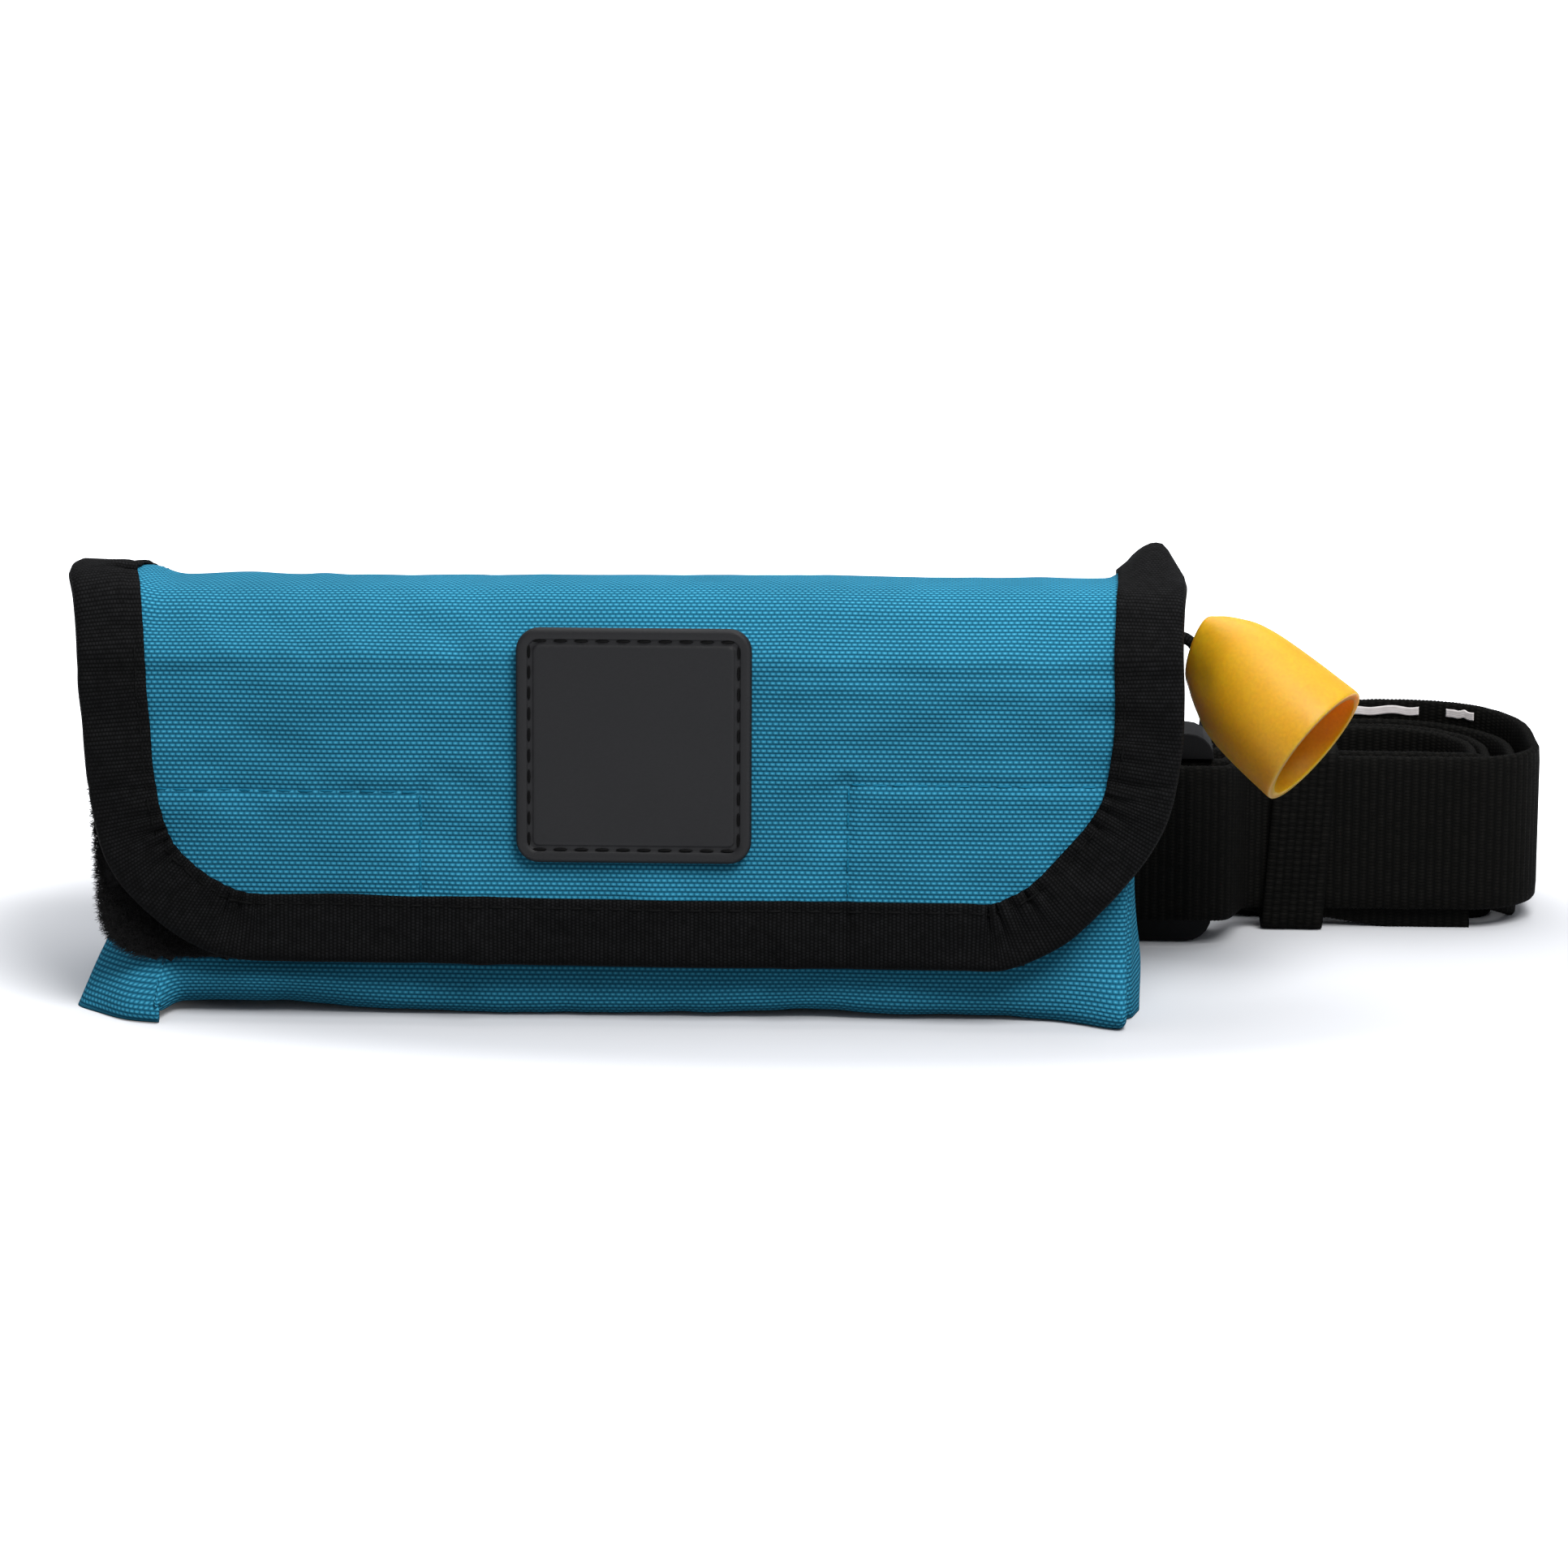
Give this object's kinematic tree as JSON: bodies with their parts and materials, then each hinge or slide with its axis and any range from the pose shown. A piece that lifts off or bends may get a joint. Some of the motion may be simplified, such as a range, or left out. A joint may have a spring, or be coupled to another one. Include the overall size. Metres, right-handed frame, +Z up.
{
  "type": "inflatable safety buoy in waist pouch",
  "caption": "Fabric waist pouch with a bound flap that holds a folded buoy, a gas cartridge and a pull-lever inflator, with a pull toggle and a rolled belt with side-release buckle.",
  "frame": {"origin": "on the surface that the pouch stands on, under the badge and between the pouch's front and back", "axes": "+X to the right as seen from the front, +Y towards the wearer's back panel, +Z up"},
  "size_m": [0.2267, 0.1112, 0.0667],
  "materials": {
    "teal_fabric": "woven, matt",
    "binding_tape": "ribbed, matt",
    "webbing": "woven, matt",
    "loop_pile": "brushed pile",
    "cord": "braided, matt",
    "buoy_cloth": "coated, satin",
    "badge_rubber": "moulded, matt",
    "yellow_plastic": "soft, satin",
    "black_plastic": "moulded, satin",
    "grey_plastic": "moulded, satin",
    "stainless_steel": "brushed",
    "zinc_steel": "zinc plated",
    "nitrile": "matt"
  },
  "bodies": {
    "pouch": {"pouch_wrap": "teal_fabric", "gusset_left": "teal_fabric", "gusset_right": "teal_fabric", "loop_strip": "loop_pile", "belt_loop_left": "webbing", "belt_loop_right": "webbing", "folded_buoy": "buoy_cloth", "buoy_stem": "grey_plastic", "stem_nut": "zinc_steel", "inflator_body": "grey_plastic", "port_gasket": "nitrile", "lever_pin": "stainless_steel", "pierce_spring": "stainless_steel", "oral_tube": "black_plastic", "oral_valve_body": "grey_plastic", "oral_spring": "stainless_steel", "buoy_tether": "webbing"},
    "top_flap": {"flap_top_panel": "teal_fabric", "flap_top_binding_left": "binding_tape", "flap_top_binding_right": "binding_tape"},
    "front_flap": {"flap_panel": "teal_fabric", "flap_binding": "binding_tape", "hook_patch_left": "loop_pile", "hook_patch_right": "loop_pile", "badge": "badge_rubber"},
    "waist_belt": {"belt": "webbing", "belt_keeper": "webbing", "buckle_female": "black_plastic", "buckle_male": "black_plastic"},
    "prong_lower": {"buckle_prong_lower": "black_plastic"},
    "prong_upper": {"buckle_prong_upper": "black_plastic"},
    "cartridge": {"co2_cartridge": "zinc_steel"},
    "lever": {"trigger_lever": "grey_plastic", "lever_knot": "cord"},
    "pin": {"pierce_pin": "stainless_steel"},
    "pull_cord": {"trigger_cord": "cord"},
    "pull_toggle": {"toggle": "yellow_plastic", "cord_knot": "cord"},
    "valve_cap": {"oral_cap": "black_plastic"},
    "valve_poppet": {"oral_poppet": "grey_plastic"}
  },
  "joints": [
    {"name": "top_flap_fold", "type": "hinge", "parent": "pouch", "child": "top_flap", "pos_m": [0, 0.0211, 0.0614], "axis": [-1, 0, 0], "range_deg": [0, 150]},
    {"name": "front_flap_fold", "type": "hinge", "parent": "top_flap", "child": "front_flap", "pos_m": [0, -0.0213, 0.06209], "axis": [-1, 0, 0], "range_deg": [0, 110]},
    {"name": "belt_slide", "type": "slide", "parent": "pouch", "child": "waist_belt", "axis": [1, 0, 0], "range_m": [-0.008, 0.012]},
    {"name": "prong_upper_squeeze", "type": "hinge", "parent": "waist_belt", "child": "prong_upper", "pos_m": [0.0667, 0.032, 0.0258], "axis": [0, -1, 0], "range_deg": [0, 9], "stiffness_Nm_per_rad": 0.4},
    {"name": "prong_lower_squeeze", "type": "hinge", "parent": "waist_belt", "child": "prong_lower", "pos_m": [0.0667, 0.032, 0.0086], "axis": [0, 1, 0], "range_deg": [0, 9], "stiffness_Nm_per_rad": 0.4},
    {"name": "cartridge_turn", "type": "hinge", "parent": "pouch", "child": "cartridge", "pos_m": [0, 0.006, 0.029], "axis": [-1, 0, 0], "range_deg": [0, 1440]},
    {"name": "trigger_pull", "type": "slide", "parent": "pouch", "child": "pull_cord", "axis": [1, 0, 0], "range_m": [0, 0.0276], "stiffness_N_per_m": 40, "deforming": ["trigger_cord"]},
    {"name": "toggle_swing", "type": "hinge", "parent": "pull_cord", "child": "pull_toggle", "pos_m": [0.0858, -0.0008, 0.054], "axis": [0, 1, 0], "range_deg": [-40, 20], "stiffness_Nm_per_rad": 0.02},
    {"name": "lever_turn", "type": "hinge", "parent": "pouch", "child": "lever", "pos_m": [0.045, 0.006, 0.029], "axis": [0, 1, 0], "range_deg": [0, 64]},
    {"name": "pin_slide", "type": "slide", "parent": "pouch", "child": "pin", "axis": [-1, 0, 0], "range_m": [0, 0.0024], "deforming": ["pierce_spring"]},
    {"name": "cap_pull", "type": "slide", "parent": "pouch", "child": "valve_cap", "axis": [-1, 0, 0], "range_m": [0, 0.0095]},
    {"name": "poppet_press", "type": "slide", "parent": "pouch", "child": "valve_poppet", "axis": [1, 0, 0], "range_m": [0, 0.002], "stiffness_N_per_m": 400, "deforming": ["oral_spring"]}
  ],
  "couplings": [
    {"joint": "lever_turn", "follows": "trigger_pull", "rad_per_m": 40.47},
    {"joint": "pin_slide", "follows": "trigger_pull", "ratio": 0.08695}
  ]
}
